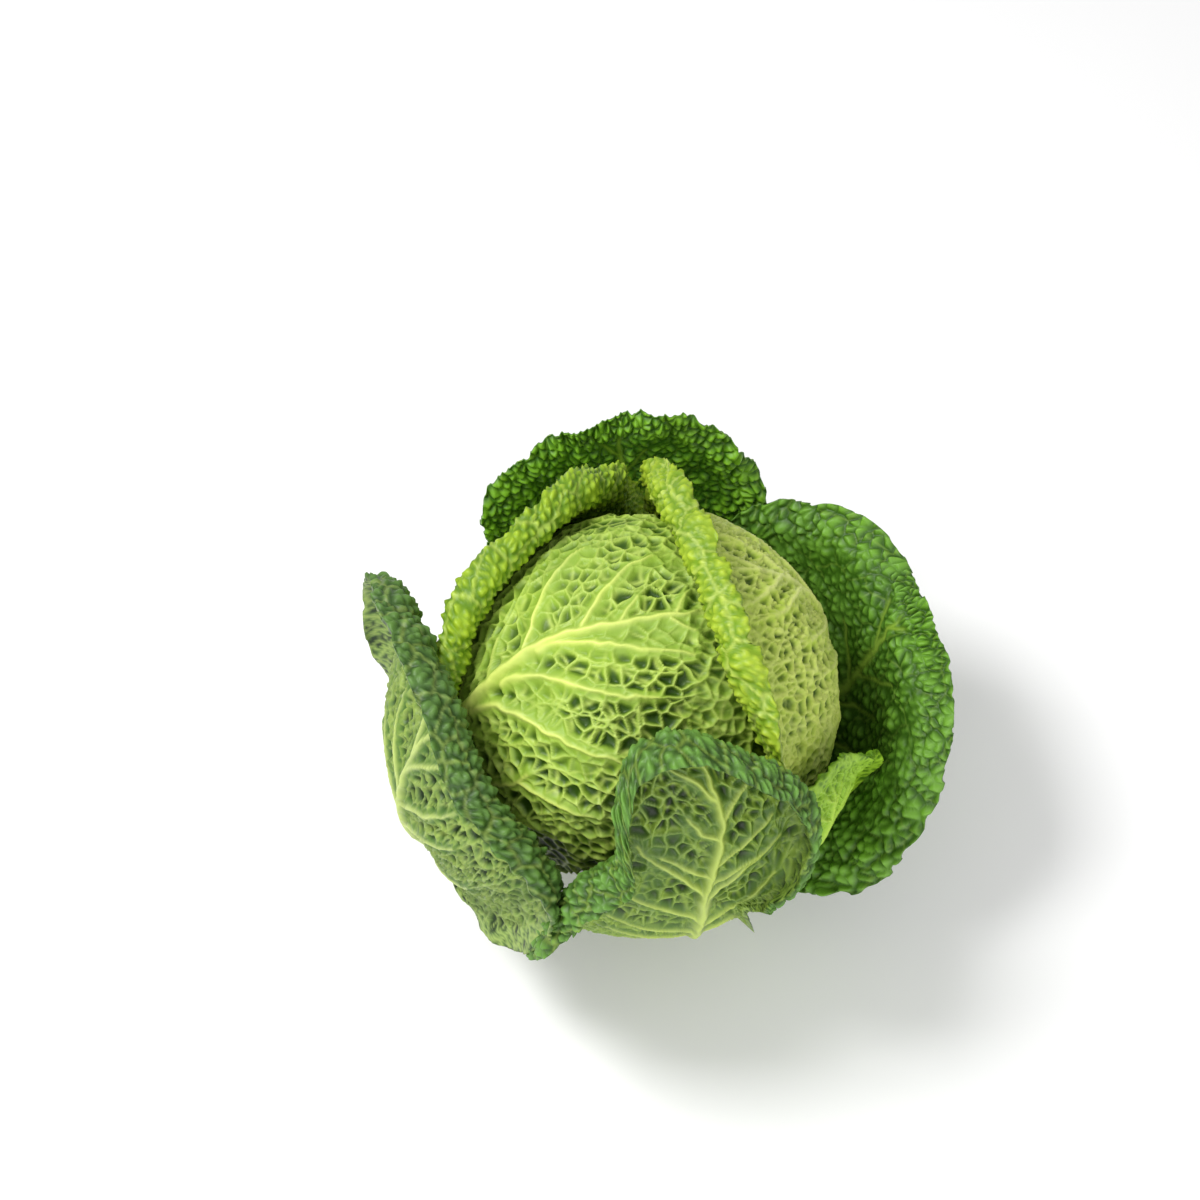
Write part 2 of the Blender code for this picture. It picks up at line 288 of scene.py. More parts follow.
class LeafForm:
    """The smooth middle surface of a leaf.

    A ray leaves the middle of the leaf in each direction and stays in one
    plane. Its slope grows with the distance walked, so it wraps the head, and
    over the last stretch it falls again, which rolls the rim outward. The ray
    towards the base is the arc that ends at the leaf's foot on the stem.
    A point of the flattened leaf is its ray's direction and distance walked.
    """
    RAYS, STEPS = 720, 240

    def __init__(self, leaf):
        self.leaf = leaf
        a, b = radians(leaf["azimuth"]), radians(leaf["latitude"])
        out = np.array([cos(b) * cos(a), cos(b) * sin(a), sin(b)])
        tip = np.array([-sin(b) * cos(a), -sin(b) * sin(a), cos(b)])
        self.middle = HEAD_CENTRE + out * leaf["reach"]
        e, w = radians(leaf.get("lean", 0)), radians(leaf.get("twist", 0))
        out, tip = out * cos(e) - tip * sin(e), tip * cos(e) + out * sin(e)
        right = np.cross(tip, out)
        self.out = out
        self.tip = tip * cos(w) + right * sin(w)
        self.right = right * cos(w) - tip * sin(w)
        foot = np.array([PETIOLE_RADIUS * cos(a), PETIOLE_RADIUS * sin(a),
                         leaf["foot"]]) - self.middle
        x, y, drop = foot @ self.right, foot @ self.tip, -(foot @ out)
        flat = hypot(x, y)
        self.stalk_bend = 2 * drop / (flat**2 + drop**2)
        self.stalk = 2 * atan2(drop, flat) / self.stalk_bend
        self.to_stalk = atan2(y, x)
        self.tip_length = leaf["edge"][3] if "edge" in leaf else leaf["tip"]
        self.trace()

    def even(self, angles):
        """Directions turned a little, so that the stalk lies at the base."""
        turn = (self.to_stalk + 1.5 * pi) % (2 * pi) - pi
        return angles - turn * (1 - np.sin(angles)) / 2

    def length(self, angles):
        """Distance from the middle to the rim in each direction."""
        s = self.leaf
        if "edge" in s:
            edge = s["edge"][:9] + (self.stalk,) + s["edge"][10:]
            return ring_value(edge, self.even(angles))
        tip, right, left, stalk = s["tip"], s["right"], s["left"], self.stalk
        shoulder, hip = s.get("shoulder", (1.0, 1.0)), s.get("hip", (0.85, 0.85))
        return ring_value((
            right, corner(right, tip) * shoulder[0], tip,
            corner(left, tip) * shoulder[1], left,
            corner(left, stalk) * hip[1], stalk,
            corner(right, stalk) * hip[0]), self.even(angles))

    def trace(self):
        """Walks every ray and keeps its points and outward normals."""
        s = self.leaf
        angles = np.arange(self.RAYS + 1) * 2 * pi / self.RAYS
        even, length = self.even(angles), self.length(angles)[:, None]
        bend = s.get("bend", (1.0, 1.0, 1.0))
        side = (1 + np.cos(even)) / 2
        across = (bend[0] * side + bend[2] * (1 - side)) / s["reach"]
        along = np.where(np.sin(even) > 0, bend[1] / s["reach"],
                         self.stalk_bend)
        wrap = (across * np.cos(even)**2 + along * np.sin(even)**2)[:, None]
        walked = np.linspace(0, 1, self.STEPS + 1) * length
        width = np.minimum(s.get("curl_width", 0.02), 0.6 * length)
        u = np.clip((walked - length + width) / width, 0, 1)
        curl = np.radians(ring_value(s.get("curl", (0,) * 8), even))[:, None]
        slope = wrap * walked - curl * (0.65 * u + 0.35 * u**2 * (3 - 2 * u))
        mean = (slope[:, 1:] + slope[:, :-1]) / 2
        start = np.zeros((len(angles), 1))
        step = length / self.STEPS
        flat = np.hstack([start, np.cumsum(np.cos(mean) * step, axis=1)])
        sink = np.hstack([start, np.cumsum(np.sin(mean) * step, axis=1)])
        ray = (np.outer(np.cos(angles), self.right)
               + np.outer(np.sin(angles), self.tip))[:, None]
        normal = self.out * np.cos(slope)[..., None] + ray * np.sin(slope)[..., None]
        height, count, phase = s.get("wave", (0.0, 0, 0))
        swell = height * np.clip(1 + np.sin(even), 0, 1)
        swell = swell * np.sin(count * angles + phase)
        rise = np.outer(swell, np.linspace(0, 1, self.STEPS + 1)**3)
        self.points = (self.middle + ray * flat[..., None]
                       - self.out * sink[..., None] + normal * rise[..., None])
        self.normals = normal
        ring = self.points[:, int(0.8 * self.STEPS)]
        steps = np.linalg.norm(np.diff(ring, axis=0), axis=1)
        self.girth = steps.sum() / (2 * pi)

    def shares(self, plan):
        """Direction and share of the way to the rim of flattened points."""
        angles = np.arctan2(plan[:, 1], plan[:, 0]) % (2 * pi)
        return angles, np.hypot(plan[:, 0], plan[:, 1]) / self.length(angles)

    def strip(self, plan):
        """Rim zone rolled out as a strip, in mm: the way around the leaf from
        its base, as long as it is in space, and the distance walked."""
        around = (np.arctan2(plan[:, 1], plan[:, 0]) + pi / 2) % (2 * pi)
        return np.stack([around * self.girth / MM, np.hypot(*plan.T)], -1)

    def place(self, plan):
        """Points and normals in space of points on the flattened leaf."""
        angles, share = self.shares(plan)
        a = angles / (2 * pi) * self.RAYS
        b = np.clip(share, 0, 1) * self.STEPS
        i = np.minimum(a.astype(int), self.RAYS - 1)
        j = np.minimum(b.astype(int), self.STEPS - 1)
        u, v = (a - i)[:, None], (b - j)[:, None]
        both = []
        for table in (self.points, self.normals):
            low = table[i, j] * (1 - u) + table[i + 1, j] * u
            high = table[i, j + 1] * (1 - u) + table[i + 1, j + 1] * u
            both.append(low * (1 - v) + high * v)
        return both


# ----------------------------------------------------------------- rib pattern

def smooth_curve(points, step=1.5):
    """Points at even steps on a smooth curve near the given ones: the broken
    line through them, each point then moved to the mean of its neighbours and
    itself several times, with the two ends held."""
    p = np.array(points, float)
    along = np.concatenate([[0], np.cumsum(np.linalg.norm(np.diff(p, axis=0), axis=1))])
    at = np.linspace(0, along[-1], max(int(along[-1] / step), 3) + 1)
    curve = np.stack([np.interp(at, along, p[:, k]) for k in (0, 1)], -1)
    for _ in range(12):
        curve[1:-1] = (curve[:-2] + 2 * curve[1:-1] + curve[2:]) / 4
    return curve


def walk(starts, headings, step):
    """Points of curves that start at starts and turn as headings say.

    headings holds one row of directions for each curve, from the +Y axis
    towards +X, and the curve takes one step in each direction."""
    moves = np.stack([np.sin(headings), np.cos(headings)], axis=-1) * step
    first = np.zeros_like(moves[:, :1])
    return starts[:, None] + np.concatenate([first, np.cumsum(moves, 1)], 1)


def grow_ribs(form, style, rng):
    """Midrib, side ribs and their forks, as curves in mm with half widths.

    The midrib and the ribs of known course are smooth curves that thin out
    evenly. Any other side rib leaves the midrib at a small angle, turns
    outward within a few millimetres and bends back towards the tip later;
    near the base it turns outward more. It forks three times, to either side,
    and each fork is three quarters as wide as its rib at that place."""
    low, high = -form.stalk / MM, form.tip_length / MM
    middle = smooth_curve(style["midrib"])
    middle = middle[(middle[:, 1] > low) & (middle[:, 1] < high * 0.97)]
    thick, thin = style["stalk"]
    ribs = [middle]
    widths = [np.interp(middle[:, 1], [low, low * 0.45, 0, high * 0.5, high],
                        [thick, thick * 0.6, thin, thin * 0.5, 0.5])]
    for width, *points in style.get("veins", ()):
        ribs.append(smooth_curve(points))
        widths.append(np.linspace(width, 0.45, len(ribs[-1])))
    step = 1.5
    known = style.get("known", (high, high))
    slope = np.arctan(np.gradient(middle[:, 0], middle[:, 1]))
    for side in (1, -1):
        gap = style["gap"]
        stations = np.arange(low + 16 + (0 if side > 0 else 0.45) * gap, high * 0.9, gap)
        stations = stations[(stations < known[0]) | (stations > known[1])]
        if not len(stations):
            continue
        stations = stations + rng.uniform(-0.16, 0.16, len(stations)) * gap
        x, lean = (np.interp(stations, middle[:, 1], v) for v in (middle[:, 0], slope))
        u = ((stations - low) / (high - low))[:, None]
        walked = np.arange(80) * step
        outward = np.radians(74 - 34 * u + rng.uniform(-5, 5, u.shape))
        heading = radians(20) + (outward - radians(20)) * (1 - np.exp(-walked / 9))
        heading = heading - np.radians(0.25) * walked
        heading = heading + 0.13 * np.sin(walked / 9 + rng.uniform(0, 6, u.shape))
        heading = side * heading + lean[:, None]
        curves = walk(np.stack([x, stations], -1), heading, step)
        size = style["rib"] * (1.2 - 0.5 * u) * np.exp(-walked / 70)
        size = np.concatenate([size[:, :1], size], 1)
        ribs.extend(curves)
        widths.extend(np.maximum(size, 0.42))
        for n, (near, far, turn) in enumerate(((9, 16, 34), (24, 36, -34), (40, 52, 28))):
            at = rng.integers(near, far, len(stations))
            rows = np.arange(len(stations))
            away = np.radians(turn + rng.uniform(-6, 6, len(stations)))[:, None] * side
            path = walked[:24 - 4 * n]
            start = heading[rows, at][:, None]
            fork = start + away * (1 - np.exp(-path / 5)) - away * path / 90
            ribs.extend(walk(curves[rows, at], fork, step))
            size_here = size[rows, at][:, None] * 0.75 * np.exp(-path / 40)
            size_here = np.concatenate([size_here[:, :1], size_here], 1)
            widths.extend(np.maximum(size_here, 0.40))
    return ribs, widths


def thin_out(points, distance):
    """Drops points that stand closer than distance to one kept earlier."""
    kept, buckets, limit = [], {}, distance**2
    for n, (x, y) in enumerate(points.tolist()):
        a, b = int(x // distance), int(y // distance)
        near = [q for i in (a - 1, a, a + 1) for j in (b - 1, b, b + 1)
                for q in buckets.get((i, j), ())]
        if all((x - p)**2 + (y - q)**2 >= limit for p, q in near):
            buckets.setdefault((a, b), []).append((x, y))
            kept.append(n)
    return points[kept]


def scatter(low, high, size, rng):
    """Loose points in a box, about size apart: a lattice of triangles whose
    points are each moved by up to two fifths of the size."""
    grid = np.stack(np.meshgrid(np.arange(low[0], high[0], size),
                                np.arange(low[1], high[1], size * 0.866)), -1)
    grid[1::2, :, 0] += size / 2
    grid = grid.reshape(-1, 2)
    return thin_out(grid + rng.uniform(-0.4, 0.4, grid.shape) * size, 0.55 * size)


def cell_borders(seeds):
    """Borders between cells, where each cell is what lies nearest to its seed.

    Triangles are drawn between neighbouring seeds, and a border joins the
    circle centres of two triangles that share a side."""
    made = delaunay_2d_cdt([Vector(p) for p in seeds.tolist()], [], [], 0, 1e-6)
    points = np.array([v[:] for v in made[0]])
    faces = np.array([f[:] for f in made[2]])
    a, b, c = (points[faces[:, k]] for k in range(3))
    ab, ac = b - a, c - a
    d = 2 * (ab[:, 0] * ac[:, 1] - ab[:, 1] * ac[:, 0])
    d = np.where(np.abs(d) < 1e-9, 1e-9, d)
    p, q = (ab**2).sum(1), (ac**2).sum(1)
    centre = a + np.stack([ac[:, 1] * p - ab[:, 1] * q,
                           ab[:, 0] * q - ac[:, 0] * p], -1) / d[:, None]
    sides = np.sort(np.concatenate([faces[:, [0, 1]], faces[:, [1, 2]],
                                    faces[:, [2, 0]]]), axis=1)
    owner = np.tile(np.arange(len(faces)), 3)
    order = np.lexsort((sides[:, 1], sides[:, 0]))
    sides, owner = sides[order], owner[order]
    twin = np.all(sides[1:] == sides[:-1], axis=1)
    starts, ends = centre[owner[:-1][twin]], centre[owner[1:][twin]]
    size = np.linalg.norm(ends - starts, axis=1)
    good = (size < 20) & (size > 1e-3)
    return starts[good], ends[good]


class Bands:
    """Straight pieces of ribs sorted into square tiles, so that each point
    is only compared with the pieces near it."""

    def __init__(self, starts, ends, widths, reach, tile, full):
        self.starts, self.ends = starts.astype(np.float32), ends.astype(np.float32)
        self.widths, self.tile = widths.astype(np.float32), tile
        self.reach, self.full = reach, full
        middle = (starts + ends) / 2
        half = np.linalg.norm(ends - starts, axis=1) / 2
        self.low = middle.min(0) - reach - 2 * tile
        self.shape = np.ceil((middle.max(0) + reach + 2 * tile - self.low)
                             / tile).astype(int)
        span = int(np.ceil((half.max() + reach) / tile))
        steps = np.arange(-span, span + 1)
        offset = np.stack(np.meshgrid(steps, steps), -1).reshape(-1, 2)
        tiles = np.floor((middle - self.low) / tile).astype(int)[:, None] + offset
        centre = self.low + (tiles + 0.5) * tile
        d = self.distance(centre, starts[:, None], ends[:, None])[0]
        which, column = np.nonzero(d < reach + 0.71 * tile)
        chosen = tiles[which, column]
        inside = np.all((chosen >= 0) & (chosen < self.shape), axis=1)
        which, chosen = which[inside], chosen[inside]
        key = chosen[:, 0] * self.shape[1] + chosen[:, 1]
        order = np.argsort(key, kind="stable")
        key, which = key[order], which[order]
        count = np.bincount(key, minlength=self.shape.prod())
        rank = np.arange(len(key)) - (np.cumsum(count) - count)[key]
        self.table = np.full((self.shape.prod(), max(count.max(), 1)), -1)
        self.table[key, rank] = which

    @staticmethod
    def distance(points, starts, ends):
        """Distance to straight pieces, and the vector to the nearest point."""
        along = ends - starts
        t = ((points - starts) * along).sum(-1) / np.maximum((along**2).sum(-1), 1e-9)
        vector = starts + along * np.clip(t, 0, 1)[..., None] - points
        return np.sqrt((vector**2).sum(-1)), vector

    def measure(self, points):
        """Four values for each point: the distance from the nearest rib's
        flank; the vector to the nearest rib's line; the joint height of the
        ribs, each a bell as high and wide as the rib but at most 2.5 high;
        and the highest bell as a share of its own rib, less for a rib whose
        half width is under full."""
        flank, vector, height, level = [], [], [], []
        for part in np.array_split(points.astype(np.float32), len(points) // 20000 + 1):
            t = np.floor((part - self.low) / self.tile).astype(int)
            t = np.clip(t, 0, self.shape - 1)
            near = self.table[t[:, 0] * self.shape[1] + t[:, 1]]
            near = near[:, :max(int((near >= 0).sum(1).max()), 1)]
            d, v = self.distance(part[:, None], self.starts[near], self.ends[near])
            w = self.widths[near]
            d = np.where(near < 0, 99, d)
            rows = np.arange(len(part))
            flank.append(np.clip((d - 0.6 * w).min(1), 0, self.reach))
            vector.append(v[rows, d.argmin(1)])
            bell = np.exp(-(d / w)**2)
            height.append(((bell * np.minimum(w, 2.5))**4).sum(1)**0.25)
            level.append((bell * np.clip(w / self.full, 0, 1)).max(1))
        return (np.concatenate(flank), np.vstack(vector),
                np.concatenate(height), np.concatenate(level))


def net(low, high, size, widths, rng, *more):
    """A net of thin ribs around cells of the given size, joined with more."""
    starts, ends = cell_borders(scatter(low, high, size, rng))
    parts = [(starts, ends, rng.uniform(*widths, len(starts))), *more]
    starts, ends, widths = (np.concatenate(v) for v in zip(*parts))
    return Bands(starts, ends, widths, 0.7 * size, 0.8 * size, 0.4)


def rib_pattern(form, style, rng):
    """The nets of a leaf: its strong ribs, then large and small cells in mid
    leaf, then large and small cells on the strip along the rim."""
    ribs, widths = grow_ribs(form, style, rng)
    starts = np.vstack([c[:-1] for c in ribs])
    ends = np.vstack([c[1:] for c in ribs])
    half = np.concatenate([(w[:-1] + w[1:]) / 2 for w in widths])
    inside = form.shares(starts * MM)[1] < 0.96
    rib = starts[inside], ends[inside], half[inside]
    reach = form.length(np.linspace(0, 2 * pi, 90)) / MM
    far, thread = 1.05 * reach.max(), style["thread"]
    thin, thick = (0.65 * thread, 1.15 * thread), (1.1 * thread, 1.8 * thread)
    flat = (-far, -far), (far, far)
    rim = (-6, 0.5 * reach.min()), (2 * pi * form.girth / MM + 6, far)
    strong = rib[2] > 0.7
    return (Bands(*(v[strong] for v in rib), 9.0, 8.0, 1.0),
            net(*flat, style["big"], thick, rng),
            net(*flat, style["cell"], thin, rng, rib),
            net(*rim, style["big"], thick, rng),
            net(*rim, style["edge_cell"], thin, rng))


def lumps(x, y, size, seed):
    """Round lumps from 0 to 1 with creases between: smooth noise folded at
    zero, at two sizes."""
    first = np.abs(lattice_noise(x, y, size, seed))
    second = np.abs(lattice_noise(x + 40, y - 30, size * 0.6, seed + 1))
    return np.minimum(1.6 * (0.65 * first + 0.35 * second), 1.0)**0.8


# ------------------------------------------------------------------ leaf mesh

def ring_counts(parts):
    """Sectors of each ring. They double outward so that the ring's edges stay
    about as long as the gap between rings, up to SECTORS at the rim."""
    gaps = np.diff(np.concatenate([[0], parts]))
    wanted = 2 * pi * parts / gaps / 1.35
    counts = [24]
    for w in wanted[1:]:
        counts.append(counts[-1] * 2 if w > counts[-1] and counts[-1] < SECTORS
                      else counts[-1])
    return counts[:-1] + [SECTORS]


def disc(parts, counts):
    """Directions, shares and triangles of a round disc made of rings."""
    angles, shares, faces = [np.zeros(1)], [np.zeros(1)], []
    first = 1
    inner, held = 0, 1
    for p, n in zip(parts, counts):
        angles.append(np.arange(n) * 2 * pi / n)
        shares.append(np.full(n, p))
        i = np.arange(n)
        j = (i + 1) % n
        if held == 1:
            faces.append(np.stack([np.zeros(n, int), first + i, first + j], -1))
        elif held == n:
            faces.append(np.stack([inner + i, first + i, first + j], -1))
            faces.append(np.stack([inner + i, first + j, inner + j], -1))
        else:
            i = np.arange(held)
            j = (i + 1) % held
            a, b, c = first + 2 * i, first + 2 * i + 1, first + (2 * i + 2) % n
            faces.append(np.stack([inner + i, a, b], -1))
            faces.append(np.stack([inner + i, b, inner + j], -1))
            faces.append(np.stack([inner + j, b, c], -1))
        inner, held = first, n
        first += n
    return np.concatenate(angles), np.concatenate(shares), np.vstack(faces)


def leaf_sides(shown):
    """The rings of the outer and the inner side, and where the narrow rings
    of each start and end. shown is outer for a leaf that lies on the head,
    open for one that stands free and rolled for one with a rolled rim. A side
    that lies against the head or inside a roll has wide rings there, and is
    kept smooth there."""
    def rings(start, end, wide_in, narrow, wide_out):
        parts = (np.linspace(0, start, wide_in + 1)[1:],
                 np.linspace(start, end, narrow + 1)[1:],
                 np.linspace(end, 1, wide_out + 1)[1:])
        parts = np.concatenate([p for p in parts if len(p)])
        return parts, ring_counts(parts), (start, end)
    fine, smooth = rings(0, 1, 0, 150, 0), rings(0.84, 1, 21, 8, 0)
    rolled = rings(0, 0.86, 0, 112, 8), rings(0.66, 1, 13, 48, 0)
    spread = rings(0, 1, 0, 92, 0), rings(0, 1, 0, 104, 0)
    return {"outer": (fine, smooth), "open": spread, "rolled": rolled}[shown]


def rim_lobes(angles, seed):
    """Share of the ray that is cut away at the rim, for an uneven edge."""
    x, y = np.cos(angles), np.sin(angles)
    wide = lattice_noise(x * 9, y * 9, 1.0, seed)
    fine = lattice_noise(x * 24, y * 24, 1.0, seed + 1)
    return (0.5 + 0.5 * wide) * 0.024 + (0.5 + 0.5 * fine) * 0.018


def blade(form, style, shown, seed, sizes):
    """Vertices, triangles and painted values of one finished leaf.

    From the smooth middle surface each side moves out by half the leaf's
    thickness. The outer side also rises at the ribs, as a bell across each
    rib, and the blade of both sides sinks between them: it falls away from a
    rib's flank like 1 - exp(-distance), once for the large cells and once
    for the small, so cells are bowls outside and blisters inside."""
    rng = np.random.default_rng(seed)
    ribs, large, small, rim_large, rim_small = rib_pattern(form, style, rng)
    points, faces, paint, rims = [], [], [], []

    def warped(p):
        shift = [lattice_noise(p[:, 0], p[:, 1], 4.5, seed + k) for k in (20, 21)]
        return p + 0.8 * np.stack(shift, -1)

    for way, (parts, counts, (start, end)) in zip((1, -1), leaf_sides(shown)):
        angles, shares, tris = disc(parts, counts)
        length = form.length(angles) / MM
        cut = 1 + (0.016 - rim_lobes(angles, seed)) * style["lobe"] * shares**4
        plan = np.stack([np.cos(angles), np.sin(angles)], -1)
        plan = plan * (shares * length * cut)[:, None]
        edge = smooth_step(0.62, 0.82, shares)
        vector = small.measure(warped(plan))[1]
        spacing = np.minimum(length * (parts[-1] - parts[-2]),
                             np.maximum(shares, 0.05) * length * 2 * pi / SECTORS)
        snap = (np.linalg.norm(vector, axis=1) < 0.45 * spacing) & (edge < 0.3)
        plan = plan + vector * snap[:, None]
        strip = form.strip(plan)
        bent, rolled = warped(plan), warped(strip)
        pair = [(small.measure(bent), rim_small.measure(rolled)),
                (large.measure(bent), rim_large.measure(rolled))]
        (flank, _, height, line), (wide, _, _, big_line) = (
            [a + (b - a) * (edge[:, None] if a.ndim == 2 else edge) for a, b in zip(*p)]
            for p in pair)
        far, _, _, rib = ribs.measure(bent)
        x, y = plan[:, 0], plan[:, 1]
        around, out = strip[:, 0], strip[:, 1]
        near = style["near"] + (1 - style["near"]) * smooth_step(1.0, 5.0, far)
        near = near * (1 - style.get("calm", 0) * smooth_step(0, 16, -x))
        deep = (near * (1 - edge) + edge) * np.clip(
            1 + 0.35 * lattice_noise(x, y, 1.4 * style["cell"], seed + 4) * (1 - edge)
            + style["patch"] * lattice_noise(x, y, 18.0, seed + 5) * (1 - 0.6 * edge),
            0.2, 1.6) * sizes.pit_depth
        depth = style["pit"][0] * (1 - edge) + style["pit"][1] * edge
        spread = style["bowl"] * (1 + edge)
        cell = style["cell"] * (1 - edge) + style["edge_cell"] * edge
        bowl = 1 - np.exp(-(wide / (0.30 * style["big"]))**1.5)
        slope = style["slope"] + (0.32 - style["slope"]) * edge
        fall = 1 - np.exp(-(flank / (slope * cell))**1.3)
        size, tall = style["lump"]
        tall = tall * (0.3 + 0.7 * edge)
        lump = (lumps(x, y, size, seed + 6) * (1 - edge)
                + lumps(around, out, size, seed + 7) * edge) * tall * fall
        sink = (depth * fall + spread * bowl) * deep + lump * (0.5 + 0.5 * deep)
        if way > 0:
            sink = DEEPEST * (1 - np.exp(-1.25 * sink / DEEPEST))
        else:
            sink = sink / (1 + (sink / HIGHEST)**4)**0.25
        swell = style["swell"] * (1 - np.exp(-(far / 4.5)**2)) * (1 - 0.8 * edge)
        wave = lattice_noise(around, out, style["ruffle"][0], seed + 8)
        wave = wave * style["ruffle"][1] * smooth_step(0.72, 1.0, shares)
        wave = wave * smooth_step(-0.98, -0.6, np.sin(angles)) * sizes.rim_ruffle
        thick = sizes.leaf_thickness / MM / 2 * (1 - 0.4 * edge)
        narrow = smooth_step(start, start + 0.05, shares + 0.05 * (start == 0))
        if end < 1:
            narrow = narrow * (1 - smooth_step(end - 0.02, end + 0.02, shares))
        resting = 0.0 if way > 0 else DEEPEST
        rise = way * thick - (sink + swell) * narrow - resting * (1 - narrow) + wave
        if way > 0:
            rise = rise + style["ridge"] * height * (1 - 0.6 * edge) * sizes.rib_height
        point, normal = form.place(plan * MM)
        put = point + normal * (rise * MM)[:, None]
        put[:, 2] = np.maximum(put[:, 2], 0.0006)
        full = depth + spread + 0.6 * style["lump"][1]
        line = np.maximum(0.85 * line, big_line)
        # Painted shade: the second painted value grows with the depth of a cell on the
        # outer side, where it mixes in the dark pit colour; on the inner side it is low in
        # the creases, where it mixes in the dark crease colour.
        if way > 0:
            shade_mix = smooth_step(0.14, 0.68, sink / np.minimum(full, DEEPEST))
            line = line * np.clip(0.15 + deep, 0, 1)
        else:
            shade_mix = smooth_step(0.0, 0.6, sink / np.minimum(full, HIGHEST))
            line = big_line**2
        paint.append(np.stack([line, shade_mix,
                               rib * (1 - smooth_step(0.60, 0.80, shares)),
                               np.full(len(plan), float(way < 0))], -1))
        base = sum(len(p) for p in points)
        points.append(put)
        faces.append((tris if way > 0 else tris[:, ::-1]) + base)
        rims.append(np.arange(len(plan) - counts[-1], len(plan)) + base)
    a, b = rims
    c, d = np.roll(a, -1), np.roll(b, -1)
    faces += [np.stack([a, b, d], -1), np.stack([a, d, c], -1)]
    return np.vstack(points), np.vstack(faces), np.clip(np.vstack(paint), 0, 1)


# -------------------------------------------------------------- head and stem

def ring_stack(rows, n):
    """Triangles of rows of n points each, closed by two poles whose numbers
    follow theirs. They face outward if the first row is the lowest."""
    i = np.arange(rows - 1)[:, None] * n
    j, k = np.arange(n), (np.arange(n) + 1) % n
    a, b, c, d = ((i + v).ravel() for v in (j, k, j + n, k + n))
    first, last = (np.full(n, rows * n + v) for v in (0, 1))
    end = (rows - 1) * n
    return np.vstack([np.stack(v, -1) for v in (
        (a, b, d), (a, d, c), (first, k, j), (last, end + j, end + k))])


def globe(rings, sectors):
    """Directions and triangles of a ball made of rings, closed at its poles."""
    polar = (np.arange(1, rings) / rings * pi)[:, None]
    around = np.arange(sectors) * 2 * pi / sectors
    grid = np.stack([np.sin(polar) * np.cos(around), np.sin(polar) * np.sin(around),
                     np.cos(polar) + 0 * around], -1).reshape(-1, 3)
    return (np.vstack([grid, [(0, 0, 1), (0, 0, -1)]]),
            ring_stack(rings - 1, sectors)[:, ::-1])


def head_ball(sizes):
    """The heart of the cabbage, a ball of leaves folded over each other.

    Six caps overlap: inside its wavy border each cap lies one leaf higher.
    Ribs fan out from the foot of each cap, and the blade between them falls
    away with soft lumps."""
    way, faces = globe(170, 340)
    r = HEAD_RADIUS / MM
    x, y, z = (way * r).T
    flats = tuple(enumerate(((x, y), (y, z), (z, x))))
    rough = sum(lattice_noise(*pair, 14.0, 60 + n) for n, pair in flats) / 2
    fold = sum(np.abs(lattice_noise(*pair, 6.0, 70 + n)) for n, pair in flats) / 1.6
    sink = np.full(len(way), 4.4)
    main = np.zeros(len(way))
    for n in range(6):
        azimuth, latitude = radians(137.5 * n + 60), radians(28 + 6 * n)
        out = np.array([cos(latitude) * cos(azimuth), cos(latitude) * sin(azimuth),
                        sin(latitude)])
        tip = np.array([-sin(latitude) * cos(azimuth), -sin(latitude) * sin(azimuth),
                        cos(latitude)])
        off = np.degrees(np.arccos(np.clip(way @ out, -1, 1)))
        inside = smooth_step(0, 1.6, 62 - 2 * n + 3 * rough - off)
        sink = sink - 0.5 * inside
        fan = np.arctan2(way @ np.cross(tip, out), way @ tip + 1.1)
        rib = np.exp(-((np.abs((fan / 0.28) % 1 - 0.5) - 0.5) / 0.055)**2)
        main = np.where(inside > 0.5, rib * smooth_step(1, 4, 62 - off), main)
    wrinkle = np.clip(fold, 0, 1)
    sink = sink + (0.9 * wrinkle) * (1 - main) - 0.5 * main * sizes.rib_height
    points = HEAD_CENTRE + way * ((r - np.maximum(sink, 0.2)) * MM)[:, None]
    zero = np.zeros(len(way))
    # Painted shade: the folds between the lumps take the dark pit colour through the second
    # painted value.
    return points, faces, np.stack([zero, wrinkle * (1 - main), main, zero], -1)


def turned_stem():
    """The cut stem: a short round stalk with a flat cut face.

    Its outline is a list of radii and heights, turned once around the axis,
    with shallow furrows down its side that fade out at the cut."""
    r, top = STEM_RADIUS, STEM_TOP
    outline = [(0, 0), (0.30, 0), (0.62, 0), (0.86, 0), (0.93, 0.0005), (0.965, 0.0016)]
    outline += [(0.975 + 0.025 * k / 12, 0.0016 + (top - 0.0032) * k / 12)
                for k in range(1, 13)]
    outline += [(0.90, top - 0.0004), (0.6, top), (0, top)]
    u, height = (np.array(v) for v in zip(*outline))
    around = np.arange(128) * 2 * pi / 128
    furrow = 0.018 * np.sin(around * 11 + 3 * np.sin(around)) + 0.012 * np.sin(around * 29)
    held = smooth_step(0, 0.003, height) * smooth_step(0.5, 0.95, u)
    radius = r * u[1:-1, None] * (1 - np.abs(furrow) * held[1:-1, None])
    ring = np.stack([radius * np.cos(around), radius * np.sin(around),
                     height[1:-1, None] + 0 * around], -1)
    points = np.vstack([ring.reshape(-1, 3), [(0, 0, 0), (0, 0, top)]])
    return points, ring_stack(*ring.shape[:2])


